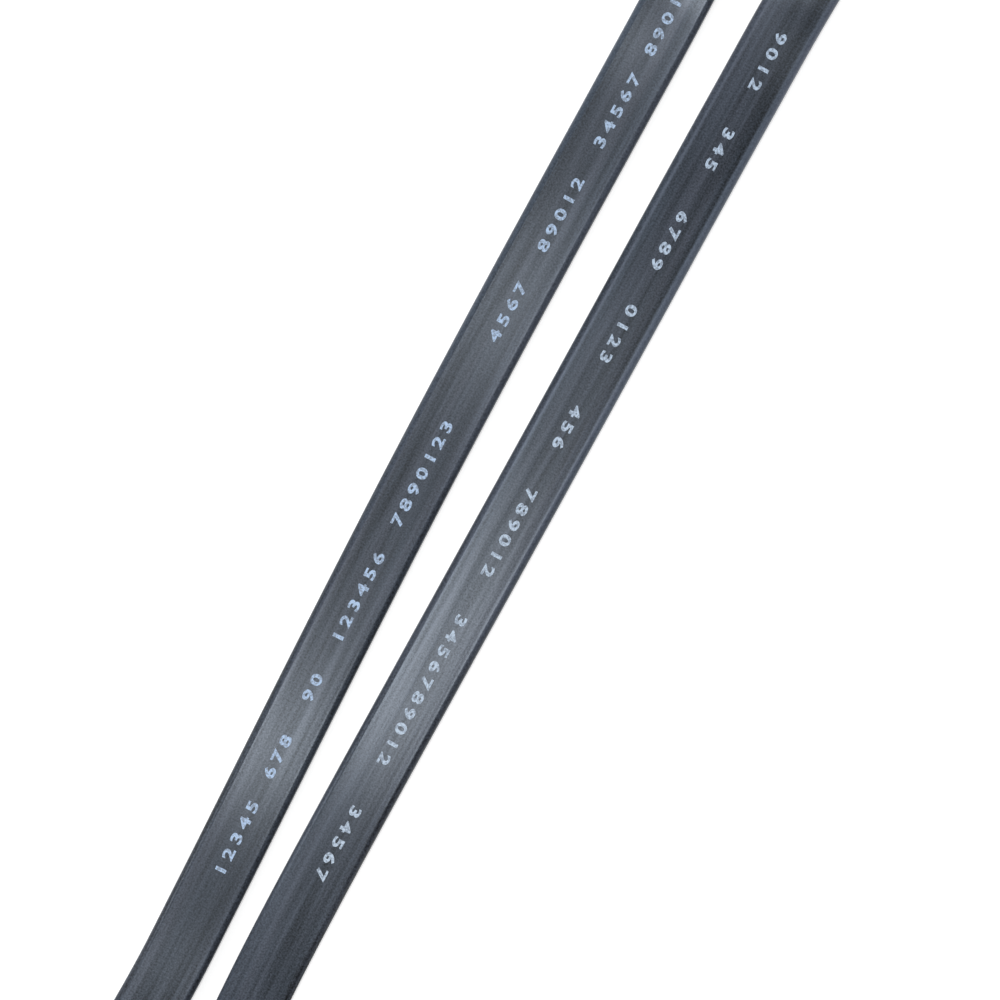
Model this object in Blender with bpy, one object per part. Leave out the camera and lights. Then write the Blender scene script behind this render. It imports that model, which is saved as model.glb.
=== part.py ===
"""SATA data cable: one flat cable folded back on itself, with a straight plug on each end.

Metres, +Z up. The two legs lie flat along +Y with the same face up. Past their far end the
cable rolls onto its edge and swings round in a hairpin, so that face stays outside all the way.
A piece of the cable is a section carried along the route; a plug is built round its own axis,
with its mating face at y = 0 and the cable leaving it towards +Y.
"""
import bisect
import math

import bmesh
import bpy
from mathutils import Vector

MM = 0.001

# The cable from the inside out. Each pair has two cores side by side and a drain on each side.
CONDUCTOR_D = 0.45 * MM
INSULATION_D = 1.10 * MM
DRAIN_D = 0.32 * MM
FOIL_T = 0.06 * MM
LAY_GAP = 0.05 * MM
JACKET_WEB = 0.38 * MM
JACKET_EDGE = 0.50 * MM
JACKET_SKIN = 0.39 * MM
JACKET_CORNER_R = 1.00 * MM

# Facets round a section, the least and most that the cable may run between two sections, and
# how far its edges may leave their smooth line there.
CORE_SIDES = 8
WIRE_SIDES = 6
ROUND_END_STEPS = 4
CORNER_STEPS = 3
MAX_STEP = 30 * MM
MIN_STEP = 3 * MM
MAX_DRIFT = 0.20 * MM
DRIFT_TRIES = 4

# Plug: the contact housing, the hood moulded over it, and the block that backs the solder joints.
HOUSING_W = 14.0 * MM
HOUSING_H = 5.0 * MM
HOUSING_L = 10.0 * MM
HOUSING_CORNER_R = 0.4 * MM
SLOT_W = 10.6 * MM
SLOT_H = 1.7 * MM
SLOT_DEPTH = 5.2 * MM
KEY_W = 1.4 * MM
KEY_H = 1.15 * MM
NOSE_L = 7.0 * MM
HOOD_W = 15.4 * MM
HOOD_H = 6.4 * MM
HOOD_BODY_L = 9.0 * MM
HOOD_CORNER_R = 1.2 * MM
HOOD_EDGE = 0.4 * MM
HOOD_WALL_FIT = 0.06 * MM
RELIEF_W = 9.6 * MM
RELIEF_H = 3.7 * MM
RELIEF_L = 8.0 * MM
MOULD_W = 12.6 * MM
MOULD_H = 4.4 * MM
MOULD_L = 5.7 * MM
MOULD_TUNNEL_W = 10.4 * MM
MOULD_TUNNEL_H = 2.0 * MM
SEAT_GAP = 0.3 * MM

# Contacts: flat springs in grooves over the slot, one for each pitch, and their solder tails.
CONTACTS = 7
CONTACT_PITCH = 1.27 * MM
CONTACT_W = 0.60 * MM
CONTACT_T = 0.20 * MM
CONTACT_FIT = 0.10 * MM
GROOVE_H = 0.50 * MM
SPRING_PROUD = 0.33 * MM
TIP_SETBACK = 0.9 * MM
SPRING_CREST = 2.0 * MM
TAIL_L = 3.4 * MM
TAIL_BEND_L = 0.8 * MM
SOLDER_GAP = 0.08 * MM

# How far each layer of the cable is stripped back, measured from the housing's rear face.
WIRE_BARE = 1.2 * MM
INSULATION_STRIP = 3.9 * MM
FOIL_STRIP = 4.7 * MM
DRAIN_TURN = 1.8 * MM
DRAIN_PAIR_GAP = 0.08 * MM

# Route: x and y in millimetres, rise (0 on the table, 1 on the plug's axis) and roll in degrees
# (0 face up, -90 on edge with the face outside the turn).
ROUTE = [
    (-9.9, -134.0, 1.0, 0), (-9.9, -120.0, 1.0, 0), (-9.9, -107.0, 1.0, 0),
    (-9.8, -102.0, 0.92, 0), (-9.3, -94.0, 0.55, 0), (-8.6, -86.0, 0.18, 0),
    (-8.05, -78.0, 0.02, 0), (-7.85, -70.0, 0, 0), (-8.12, -58.9, 0, 0), (-8.57, -45.5, 0, 0),
    (-9.03, -32.1, 0, 0), (-9.44, -18.75, 0, 0), (-9.77, -5.3, 0, 0), (-9.98, 8.2, 0, 0),
    (-10.08, 21.7, 0, 0), (-10.1, 35.3, 0, 0), (-10.07, 48.9, 0, 0), (-10.08, 62.6, 0, 0),
    (-10.3, 72.0, 0, -9), (-10.9, 81.0, 0, -31), (-12.1, 90.0, 0, -58), (-13.6, 98.5, 0, -80),
    (-14.6, 107.0, 0, -90), (-13.1, 113.2, 0, -90), (-9.2, 117.4, 0, -90), (-3.6, 119.0, 0, -90),
    (2.0, 117.4, 0, -90), (5.9, 113.2, 0, -90), (7.4, 107.0, 0, -90), (6.6, 99.5, 0, -80),
    (5.3, 92.0, 0, -58), (4.1, 84.5, 0, -31), (3.3, 77.0, 0, -9), (2.95, 69.6, 0, 0),
    (2.77, 55.9, 0, 0), (2.68, 42.3, 0, 0), (2.65, 28.7, 0, 0), (2.61, 15.0, 0, 0),
    (2.56, 1.4, 0, 0), (2.49, -12.25, 0, 0), (2.42, -25.9, 0, 0), (2.37, -39.5, 0, 0),
    (2.41, -53.1, 0, 0), (2.6, -63.0, 0, 0), (2.95, -71.0, 0.12, 0), (3.35, -78.0, 0.5, 0),
    (3.6, -85.0, 0.92, 0), (3.65, -90.0, 1.0, 0), (3.65, -102.0, 1.0, 0), (3.65, -115.0, 1.0, 0),
]
SPAN_SAMPLES = 16
SHARP_ANGLE = math.radians(35)

COLOURS = {
    "jacket": ((0.062, 0.068, 0.078), 0.48, 0.0),
    "foil": ((0.80, 0.81, 0.83), 0.30, 1.0),
    "core": ((0.86, 0.86, 0.83), 0.50, 0.0),
    "tinned": ((0.72, 0.72, 0.70), 0.32, 1.0),
    "housing": ((0.022, 0.022, 0.024), 0.45, 0.0),
    "hood": ((0.030, 0.032, 0.036), 0.55, 0.0),
    "mould": ((0.70, 0.69, 0.64), 0.60, 0.0),
    "contact": ((0.86, 0.66, 0.30), 0.28, 1.0),
}


def clear_scene():
    """Start from an empty scene."""
    for item in list(bpy.data.objects):
        bpy.data.objects.remove(item, do_unlink=True)


def material_for(name, kind):
    """A Principled material of its own for one piece."""
    colour, roughness, metallic = COLOURS[kind]
    material = bpy.data.materials.new(name)
    material.use_nodes = True
    shader = material.node_tree.nodes["Principled BSDF"]
    shader.inputs["Base Color"].default_value = (*colour, 1.0)
    shader.inputs["Roughness"].default_value = roughness
    shader.inputs["Metallic"].default_value = metallic
    return material


def add_piece(name, kind, bm):
    """Turn a bmesh into a named, smooth-shaded object with its own material."""
    bmesh.ops.recalc_face_normals(bm, faces=bm.faces[:])
    mesh = bpy.data.meshes.new(name)
    bm.to_mesh(mesh)
    bm.free()
    mesh.shade_smooth()
    mesh.set_sharp_from_angle(angle=SHARP_ANGLE)
    mesh.materials.append(material_for(name, kind))
    piece = bpy.data.objects.new(name, mesh)
    bpy.context.collection.objects.link(piece)
    return piece


# Sizes that follow from the values above.

CORE_OFFSET = (INSULATION_D + LAY_GAP) / 2
DRAIN_OFFSET = CORE_OFFSET + (INSULATION_D + DRAIN_D) / 2 + LAY_GAP
FOIL_IN_W = DRAIN_OFFSET + DRAIN_D / 2 + LAY_GAP
FOIL_IN_H = INSULATION_D / 2 + LAY_GAP
FOIL_OUT_W = FOIL_IN_W + FOIL_T
FOIL_OUT_H = FOIL_IN_H + FOIL_T
BORE_W = FOIL_OUT_W + LAY_GAP
BORE_H = FOIL_OUT_H + LAY_GAP
PAIR_OFFSET = JACKET_WEB / 2 + BORE_W
CABLE_W = 2 * (PAIR_OFFSET + BORE_W + JACKET_EDGE)
CABLE_T = 2 * (BORE_H + JACKET_SKIN)

HOOD_L = HOOD_BODY_L + RELIEF_L
PLUG_L = NOSE_L + HOOD_L
PLUG_AXIS_Z = HOOD_H / 2
MOULD_START = HOUSING_L + SEAT_GAP
JACKET_START = MOULD_START + MOULD_L + SEAT_GAP
FOIL_START = HOUSING_L + FOIL_STRIP
INSULATION_START = HOUSING_L + INSULATION_STRIP
WIRE_START = HOUSING_L + WIRE_BARE
GROOVE_TOP = SLOT_H / 2 + GROOVE_H
SPRING_Z = GROOVE_TOP - CONTACT_FIT - CONTACT_T / 2
CREST_Z = SLOT_H / 2 - SPRING_PROUD + CONTACT_T / 2
TAIL_Z = CONDUCTOR_D / 2 + SOLDER_GAP + CONTACT_T / 2


# The route, read as one smooth curve.

def standing_height(roll):
    """Height of the section's centre when the cable touches the table at this roll."""
    flank = CABLE_W / 2 - JACKET_CORNER_R
    crown = CABLE_T / 2 - JACKET_CORNER_R
    return JACKET_CORNER_R + flank * abs(math.sin(roll)) + crown * abs(math.cos(roll))


def smooth_rows(rows):
    """A Hermite curve through the route's rows, with slopes from each row's neighbours."""
    knots = [0.0]
    for a, b in zip(rows, rows[1:]):
        knots.append(knots[-1] + (b - a).xy.length)
    chords = [(b - a) / (v - u) for a, b, u, v in zip(rows, rows[1:], knots, knots[1:])]
    slopes = [chords[0]]
    for i in range(1, len(rows) - 1):
        left, right = knots[i] - knots[i - 1], knots[i + 1] - knots[i]
        slopes.append((chords[i - 1] * right + chords[i] * left) / (left + right))
    slopes.append(chords[-1])
    curve = []
    for i in range(len(rows) - 1):
        span = knots[i + 1] - knots[i]
        for step in range(SPAN_SAMPLES):
            t = step / SPAN_SAMPLES
            curve.append(rows[i] * (1 + 2 * t) * (1 - t) ** 2
                         + slopes[i] * span * t * (1 - t) ** 2
                         + rows[i + 1] * t * t * (3 - 2 * t)
                         + slopes[i + 1] * span * t * t * (t - 1))
    return curve + [rows[-1]]


def lay_route():
    """Centres, rolls, directions and distances along the cable, plug face to plug face."""
    rows = [Vector((x * MM, y * MM, rise, math.radians(roll))) for x, y, rise, roll in ROUTE]
    centres, rolls = [], []
    for x, y, rise, roll in smooth_rows(rows):
        table = standing_height(roll)
        centres.append(Vector((x, y, table + rise * (PLUG_AXIS_Z - table))))
        rolls.append(roll)
    last = len(centres) - 1
    headings = [(centres[min(i + 1, last)] - centres[max(i - 1, 0)]).normalized()
                for i in range(last + 1)]
    distances = [0.0]
    for a, b in zip(centres, centres[1:]):
        distances.append(distances[-1] + (b - a).length)
    return centres, rolls, headings, distances


CENTRES, ROLLS, HEADINGS, DISTANCES = lay_route()
CABLE_LENGTH = DISTANCES[-1]


def frame_at(distance):
    """Centre of the section at a distance, with its directions across and out of its face."""
    i = min(max(bisect.bisect_right(DISTANCES, distance), 1), len(DISTANCES) - 1)
    share = (distance - DISTANCES[i - 1]) / (DISTANCES[i] - DISTANCES[i - 1])
    centre = CENTRES[i - 1].lerp(CENTRES[i], share)
    heading = HEADINGS[i - 1].lerp(HEADINGS[i], share).normalized()
    roll = ROLLS[i - 1] + (ROLLS[i] - ROLLS[i - 1]) * share
    level = heading.cross(Vector((0, 0, 1))).normalized()
    upright = level.cross(heading)
    across = level * math.cos(roll) - upright * math.sin(roll)
    face = upright * math.cos(roll) + level * math.sin(roll)
    return centre, across, face


def edge_at(distance, side):
    """A point on one edge of the jacket; side is -1 or 1."""
    centre, across, _ = frame_at(distance)
    return centre + across * side * CABLE_W / 2


def drift_between(start, end):
    """How far the jacket's edges leave the straight line between two sections."""
    drift = 0.0
    for side in (-1, 1):
        first = edge_at(start, side)
        along = (edge_at(end, side) - first).normalized()
        for k in range(1, DRIFT_TRIES):
            offset = edge_at(start + (end - start) * k / DRIFT_TRIES, side) - first
            drift = max(drift, (offset - along * offset.dot(along)).length)
    return drift


def shared_stops():
    """Distances where every piece has a section: closer together where the cable bends."""
    far_end = CABLE_LENGTH - PLUG_L
    stops = [PLUG_L]
    for distance in DISTANCES:
        step = distance - stops[-1]
        if step > MIN_STEP and distance < far_end - MIN_STEP:
            if step > MAX_STEP or drift_between(stops[-1], distance) > MAX_DRIFT:
                stops.append(distance)
    return stops + [far_end]


STOPS = shared_stops()


def stops_for(start, near=()):
    """Stops of a piece that starts this far from each plug face, with its own extra ones."""
    own = [start, *near]
    return own + STOPS + [CABLE_LENGTH - s for s in reversed(own)]


# Outlines, anticlockwise, as (across, up) pairs.

def ring(radius, sides, across=0.0):
    """A round outline."""
    turn = 2 * math.pi / sides
    return [(across + radius * math.cos(k * turn), radius * math.sin(k * turn))
            for k in range(sides)]


def pair_outline(half_w, half_h, across):
    """An oval round one pair: round ends, and flats with a point over each core."""
    middle = half_w - half_h
    points = []
    for side, start in ((1, -math.pi / 2), (-1, math.pi / 2)):
        for k in range(ROUND_END_STEPS + 1):
            angle = start + math.pi * k / ROUND_END_STEPS
            points.append((across + side * middle + half_h * math.cos(angle),
                           half_h * math.sin(angle)))
        points += [(across + side * CORE_OFFSET, side * half_h),
                   (across - side * CORE_OFFSET, side * half_h)]
    return points


def rounded_outline(width, height, radius, steps, flat_points=()):
    """A rectangle with round corners; flat_points are extra points along its long sides."""
    points = []
    for quarter, (side, up) in enumerate(((1, -1), (1, 1), (-1, 1), (-1, -1))):
        for k in range(steps + 1):
            angle = math.pi / 2 * (quarter - 1 + k / steps)
            points.append((side * (width / 2 - radius) + radius * math.cos(angle),
                           up * (height / 2 - radius) + radius * math.sin(angle)))
        if side == up:
            points += [(side * x, up * height / 2) for x in flat_points]
    return points


# Pieces of the cable.

def join_rings(bm, rings, closed=False):
    """Faces from each ring of points to the next."""
    pairs = list(zip(rings, rings[1:]))
    if closed:
        pairs.append((rings[-1], rings[0]))
    for low, high in pairs:
        count = len(low)
        for k in range(count):
            after = (k + 1) % count
            bm.faces.new((low[k], low[after], high[after], high[k]))


def cap_end(bm, rings):
    """Close one end of a piece, leaving its bores open."""
    edges = [bm.edges.get((loop[k], loop[(k + 1) % len(loop)]))
             for loop in rings for k in range(len(loop))]
    bmesh.ops.triangle_fill(bm, use_beauty=True, use_dissolve=False, edges=edges)


def sweep(name, kind, outlines, stops, shifts=None):
    """Carry a section along the cable; outlines after the first are bores right through."""
    bm = bmesh.new()
    shifts = shifts or [0.0] * len(stops)
    runs = []
    for outline in outlines:
        rings = []
        for distance, shift in zip(stops, shifts):
            centre, across, face = frame_at(distance)
            rings.append([bm.verts.new(centre + across * (a + shift) + face * b)
                          for a, b in outline])
        join_rings(bm, rings)
        runs.append(rings)
    cap_end(bm, [rings[0] for rings in runs])
    cap_end(bm, [rings[-1] for rings in runs])
    return add_piece(name, kind, bm)


def make_jacket():
    """Outer jacket: round edges, flat faces and one bore for each screened pair."""
    flat = CABLE_W / 2 - JACKET_CORNER_R
    outer = rounded_outline(CABLE_W, CABLE_T, JACKET_CORNER_R, CORNER_STEPS,
                            (flat / 2, 0.0, -flat / 2))
    bores = [pair_outline(BORE_W, BORE_H, side * PAIR_OFFSET) for side in (-1, 1)]
    sweep("jacket", "jacket", [outer, *bores], stops_for(JACKET_START))


def make_foil_shields():
    """Foil wrap round each pair and its two drains."""
    for number, side in enumerate((-1, 1), 1):
        across = side * PAIR_OFFSET
        sweep(f"foil_shield_{number}", "foil",
              [pair_outline(FOIL_OUT_W, FOIL_OUT_H, across),
               pair_outline(FOIL_IN_W, FOIL_IN_H, across)],
              stops_for(FOIL_START))


def make_cores():
    """Four insulated cores: white insulation, and the solid conductor inside it."""
    bore = CONDUCTOR_D / 2 + LAY_GAP
    places = [pair + side * CORE_OFFSET for pair in (-PAIR_OFFSET, PAIR_OFFSET)
              for side in (-1, 1)]
    for number, across in enumerate(places, 1):
        sweep(f"core_insulation_{number}", "core",
              [ring(INSULATION_D / 2, CORE_SIDES, across), ring(bore, WIRE_SIDES, across)],
              stops_for(INSULATION_START))
        sweep(f"conductor_{number}", "tinned",
              [ring(CONDUCTOR_D / 2, WIRE_SIDES, across)], stops_for(WIRE_START))


def make_drains():
    """Four bare drain wires, which turn aside to the ground contacts past the foil."""
    outer_pad = CONTACT_PITCH * (CONTACTS - 1) / 2
    inner_pad = (DRAIN_D + DRAIN_PAIR_GAP) / 2
    places = [(-PAIR_OFFSET - DRAIN_OFFSET, -outer_pad), (-PAIR_OFFSET + DRAIN_OFFSET, -inner_pad),
              (PAIR_OFFSET - DRAIN_OFFSET, inner_pad), (PAIR_OFFSET + DRAIN_OFFSET, outer_pad)]
    turn_end = WIRE_START + DRAIN_TURN
    stops = stops_for(WIRE_START, (turn_end, FOIL_START))
    for number, (across, pad) in enumerate(places, 1):
        shifts = [pad - across if min(s, CABLE_LENGTH - s) < turn_end + LAY_GAP else 0.0
                  for s in stops]
        sweep(f"drain_wire_{number}", "tinned", [ring(DRAIN_D / 2, WIRE_SIDES, across)],
              stops, shifts)


# Pieces of a plug.

def add_box(bm, low, high):
    """A block between two corners."""
    size = Vector(high) - Vector(low)
    made = bmesh.ops.create_cube(bm, size=1.0)
    bmesh.ops.scale(bm, vec=size, verts=made["verts"])
    bmesh.ops.translate(bm, vec=(Vector(high) + Vector(low)) / 2, verts=made["verts"])


def loft(bm, sections, closed):
    """Join (y, outline) sections, front to back, into one skin."""
    rings = [[bm.verts.new((x, y, z)) for x, z in outline] for y, outline in sections]
    join_rings(bm, rings, closed)
    return rings


def cut_away(piece, guides):
    """Cut the guides out of a piece, and keep the edges of the cuts sharp."""
    for guide in guides:
        cut = piece.modifiers.new(guide.name, "BOOLEAN")
        cut.operation = "DIFFERENCE"
        cut.object = guide
    bpy.context.view_layer.update()
    graph = bpy.context.evaluated_depsgraph_get()
    piece.data = bpy.data.meshes.new_from_object(piece.evaluated_get(graph))
    piece.data.set_sharp_from_angle(angle=SHARP_ANGLE)
    piece.modifiers.clear()
    for guide in guides:
        bpy.data.objects.remove(guide, do_unlink=True)


def contact_places():
    """Centres of the contacts across the plug."""
    middle = (CONTACTS - 1) / 2
    return [(k - middle) * CONTACT_PITCH for k in range(CONTACTS)]


def slot_cutter(name):
    """The keyed slot, with a groove over it for each contact spring."""
    right, top = SLOT_W / 2, SLOT_H / 2
    groove = CONTACT_W / 2 + CONTACT_FIT
    outline = [(-right, -top), (right - KEY_W, -top), (right - KEY_W, -top - KEY_H),
               (right, -top - KEY_H), (right, top)]
    for x in reversed(contact_places()):
        outline += [(x + groove, top), (x + groove, GROOVE_TOP),
                    (x - groove, GROOVE_TOP), (x - groove, top)]
    outline.append((-right, top))
    bm = bmesh.new()
    rings = loft(bm, [(-SEAT_GAP, outline), (SLOT_DEPTH, outline)], closed=False)
    for loop in rings:
        cap_end(bm, [loop])
    return add_piece(name, "housing", bm)


def tail_cutter(name):
    """Slits through the housing's rear wall for the contact tails."""
    bm = bmesh.new()
    half = CONTACT_W / 2 + CONTACT_FIT
    low = SPRING_Z - CONTACT_T / 2 - CONTACT_FIT
    for x in contact_places():
        add_box(bm, (x - half, SLOT_DEPTH - SEAT_GAP, low),
                (x + half, HOUSING_L + SEAT_GAP, GROOVE_TOP))
    return add_piece(name, "housing", bm)


def make_housing(prefix):
    """Contact housing: a block with round long edges, cut by the slot and the tail slits."""
    bm = bmesh.new()
    outline = rounded_outline(HOUSING_W, HOUSING_H, HOUSING_CORNER_R, CORNER_STEPS)
    for loop in loft(bm, [(0.0, outline), (HOUSING_L, outline)], closed=False):
        cap_end(bm, [loop])
    housing = add_piece(f"{prefix}_housing", "housing", bm)
    cut_away(housing, [slot_cutter("slot_cutter"), tail_cutter("tail_cutter")])
    return [housing]


def make_hood(prefix):
    """Hood with its tapered strain relief: one skin, outside to the rear and back inside."""
    def outline(width, height, radius):
        return rounded_outline(width, height, radius, CORNER_STEPS)

    rear_y = NOSE_L + HOOD_BODY_L
    fit = 2 * HOOD_WALL_FIT
    mouth = outline(HOUSING_W + fit, HOUSING_H + fit, HOUSING_CORNER_R)
    pocket = outline(MOULD_W + fit, MOULD_H + fit, HOUSING_CORNER_R)
    bore = outline(CABLE_W + fit, CABLE_T + fit, JACKET_CORNER_R + HOOD_WALL_FIT)
    rim = outline(HOOD_W - 2 * HOOD_EDGE, HOOD_H - 2 * HOOD_EDGE, HOOD_CORNER_R - HOOD_EDGE)
    body = outline(HOOD_W, HOOD_H, HOOD_CORNER_R)
    tail = outline(RELIEF_W, RELIEF_H, JACKET_CORNER_R + HOOD_WALL_FIT)
    waist = outline((HOOD_W + RELIEF_W) / 2, (HOOD_H + RELIEF_H) / 2, HOOD_CORNER_R)
    floor_y = MOULD_START + MOULD_L + HOOD_WALL_FIT
    sections = [(NOSE_L, rim), (NOSE_L + HOOD_EDGE, body), (rear_y - HOOD_EDGE, body),
                (rear_y + RELIEF_L / 5, waist), (PLUG_L, tail), (PLUG_L, bore),
                (floor_y, bore), (floor_y, pocket), (HOUSING_L + HOOD_WALL_FIT, pocket),
                (HOUSING_L + HOOD_WALL_FIT, mouth), (NOSE_L, mouth)]
    bm = bmesh.new()
    loft(bm, sections, closed=True)
    return [add_piece(f"{prefix}_hood", "hood", bm)]


def make_inner_mould(prefix):
    """Block behind the housing, with a tunnel for the solder joints and the wire ends."""
    outer = rounded_outline(MOULD_W, MOULD_H, HOUSING_CORNER_R, CORNER_STEPS)
    tunnel = rounded_outline(MOULD_TUNNEL_W, MOULD_TUNNEL_H, HOUSING_CORNER_R, CORNER_STEPS)
    rear = MOULD_START + MOULD_L
    bm = bmesh.new()
    loft(bm, [(MOULD_START, outer), (rear, outer), (rear, tunnel), (MOULD_START, tunnel)],
         closed=True)
    return [add_piece(f"{prefix}_inner_mould", "mould", bm)]


def spring_line():
    """Side view of a contact, tip to tail, as (y, z) points on its middle line."""
    tail_y = HOUSING_L + TAIL_BEND_L
    return [(TIP_SETBACK, SPRING_Z), (SPRING_CREST, CREST_Z), (SLOT_DEPTH, SPRING_Z),
            (HOUSING_L + CONTACT_T, SPRING_Z), (tail_y, TAIL_Z), (HOUSING_L + TAIL_L, TAIL_Z)]


def make_contacts(prefix):
    """Contact springs: one folded strip each, with its tail over the wires."""
    line = [Vector(point) for point in spring_line()]
    last = len(line) - 1
    edges = []
    for i, point in enumerate(line):
        along = (line[min(i + 1, last)] - line[max(i - 1, 0)]).normalized()
        edges.append((point, Vector((-along.y, along.x)) * CONTACT_T / 2))
    profile = [point + out for point, out in edges] + [p - out for p, out in reversed(edges)]
    pieces = []
    for number, x in enumerate(contact_places(), 1):
        bm = bmesh.new()
        sides = [[bm.verts.new((x + side * CONTACT_W / 2, y, z)) for y, z in profile]
                 for side in (-1, 1)]
        join_rings(bm, sides)
        for loop in sides:
            cap_end(bm, [loop])
        pieces.append(add_piece(f"{prefix}_contact_{number}", "contact", bm))
    return pieces


def make_plug(prefix, face_centre, turned):
    """A whole plug on the cable's end; turned puts its key on the other side."""
    holder = bpy.data.objects.new(prefix, None)
    bpy.context.collection.objects.link(holder)
    pieces = (make_housing(prefix) + make_hood(prefix) + make_inner_mould(prefix)
              + make_contacts(prefix))
    for piece in pieces:
        piece.parent = holder
    holder.location = face_centre
    holder.rotation_euler = (0, math.pi if turned else 0, 0)


def stand_on_origin():
    """Move everything so that the middle of the footprint is the origin, on the table."""
    bpy.context.view_layer.update()
    corners = [item.matrix_world @ Vector(corner) for item in bpy.data.objects
               if item.type == "MESH" for corner in item.bound_box]
    low = Vector(min(corner[k] for corner in corners) for k in range(3))
    high = Vector(max(corner[k] for corner in corners) for k in range(3))
    shift = Vector(((low.x + high.x) / 2, (low.y + high.y) / 2, low.z))
    for item in bpy.data.objects:
        if item.parent is None:
            item.location -= shift


def main():
    clear_scene()
    make_jacket()
    make_foil_shields()
    make_cores()
    make_drains()
    make_plug("plug_a", CENTRES[0], turned=False)
    make_plug("plug_b", CENTRES[-1], turned=True)
    stand_on_origin()
    print(f"cable {CABLE_W / MM:.2f} x {CABLE_T / MM:.2f} mm, {CABLE_LENGTH / MM:.1f} mm long, "
          f"{len(STOPS)} shared sections")


main()
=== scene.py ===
# %% [markdown]
# # A flat data cable, folded once
#
# The object is one flat, screened cable with a straight plug on each end. Its solids are
# already made, so this file only gives them their looks: a finely shaped jacket with its
# row of ink marks, softened plastic on the plugs, and one finish for each material.
# Everything is in metres, in the same place as the solids.

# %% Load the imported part
import bisect
import math

import bmesh
import bpy
from mathutils import Matrix, Vector


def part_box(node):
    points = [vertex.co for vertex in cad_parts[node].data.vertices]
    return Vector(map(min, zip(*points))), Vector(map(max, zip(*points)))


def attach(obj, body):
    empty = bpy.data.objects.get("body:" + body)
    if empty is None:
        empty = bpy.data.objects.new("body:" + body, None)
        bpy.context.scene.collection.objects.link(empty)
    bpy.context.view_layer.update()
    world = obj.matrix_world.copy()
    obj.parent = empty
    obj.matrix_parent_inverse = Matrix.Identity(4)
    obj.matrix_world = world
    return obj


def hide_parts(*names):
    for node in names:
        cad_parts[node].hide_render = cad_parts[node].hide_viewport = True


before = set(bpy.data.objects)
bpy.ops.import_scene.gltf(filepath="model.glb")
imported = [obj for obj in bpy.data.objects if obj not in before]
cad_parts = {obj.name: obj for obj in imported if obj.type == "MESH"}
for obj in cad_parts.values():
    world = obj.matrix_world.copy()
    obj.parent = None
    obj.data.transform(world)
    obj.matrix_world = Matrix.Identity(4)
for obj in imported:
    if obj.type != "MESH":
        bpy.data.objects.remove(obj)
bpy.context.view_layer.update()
MM = 0.001

# %% [markdown]
# ## The route
#
# A cable keeps its length however it lies, so its line comes first. These are the route's own
# points: two legs side by side, and a hairpin that swings round on edge. A flat cable can only
# bend sharply across its thin side, which is why each row also has a roll. A Hermite curve
# through the rows gives a smooth line, where straight runs and arcs would look like bent wire.

# %% The route's points
# x and y in millimetres, rise (0 on the table, 1 on the plug's axis) and roll in degrees
ROUTE = [
    (-9.9, -134.0, 1.0, 0), (-9.9, -120.0, 1.0, 0), (-9.9, -107.0, 1.0, 0),
    (-9.8, -102.0, 0.92, 0), (-9.3, -94.0, 0.55, 0), (-8.6, -86.0, 0.18, 0),
    (-8.05, -78.0, 0.02, 0), (-7.85, -70.0, 0, 0), (-8.12, -58.9, 0, 0), (-8.57, -45.5, 0, 0),
    (-9.03, -32.1, 0, 0), (-9.44, -18.75, 0, 0), (-9.77, -5.3, 0, 0), (-9.98, 8.2, 0, 0),
    (-10.08, 21.7, 0, 0), (-10.1, 35.3, 0, 0), (-10.07, 48.9, 0, 0), (-10.08, 62.6, 0, 0),
    (-10.3, 72.0, 0, -9), (-10.9, 81.0, 0, -31), (-12.1, 90.0, 0, -58), (-13.6, 98.5, 0, -80),
    (-14.6, 107.0, 0, -90), (-13.1, 113.2, 0, -90), (-9.2, 117.4, 0, -90), (-3.6, 119.0, 0, -90),
    (2.0, 117.4, 0, -90), (5.9, 113.2, 0, -90), (7.4, 107.0, 0, -90), (6.6, 99.5, 0, -80),
    (5.3, 92.0, 0, -58), (4.1, 84.5, 0, -31), (3.3, 77.0, 0, -9), (2.95, 69.6, 0, 0),
    (2.77, 55.9, 0, 0), (2.68, 42.3, 0, 0), (2.65, 28.7, 0, 0), (2.61, 15.0, 0, 0),
    (2.56, 1.4, 0, 0), (2.49, -12.25, 0, 0), (2.42, -25.9, 0, 0), (2.37, -39.5, 0, 0),
    (2.41, -53.1, 0, 0), (2.6, -63.0, 0, 0), (2.95, -71.0, 0.12, 0), (3.35, -78.0, 0.5, 0),
    (3.6, -85.0, 0.92, 0), (3.65, -90.0, 1.0, 0), (3.65, -102.0, 1.0, 0), (3.65, -115.0, 1.0, 0),
]
CABLE_W = 8.0
CABLE_T = 2.2
EDGE_ROUND = 1.0
SPAN_SAMPLES = 16

# The first row is the middle of plug A's face, which says where the route lies on the solids.
nose_low, nose_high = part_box("plug_a_housing")
PLUG_AXIS_Z = (nose_low.z + nose_high.z) / 2 / MM
SHIFT_X = (nose_low.x + nose_high.x) / 2 / MM - ROUTE[0][0]
SHIFT_Y = nose_low.y / MM - ROUTE[0][1]
print(f"route moved by {SHIFT_X:.3f}, {SHIFT_Y:.3f} mm, plug axis {PLUG_AXIS_Z:.2f} mm up")


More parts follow.
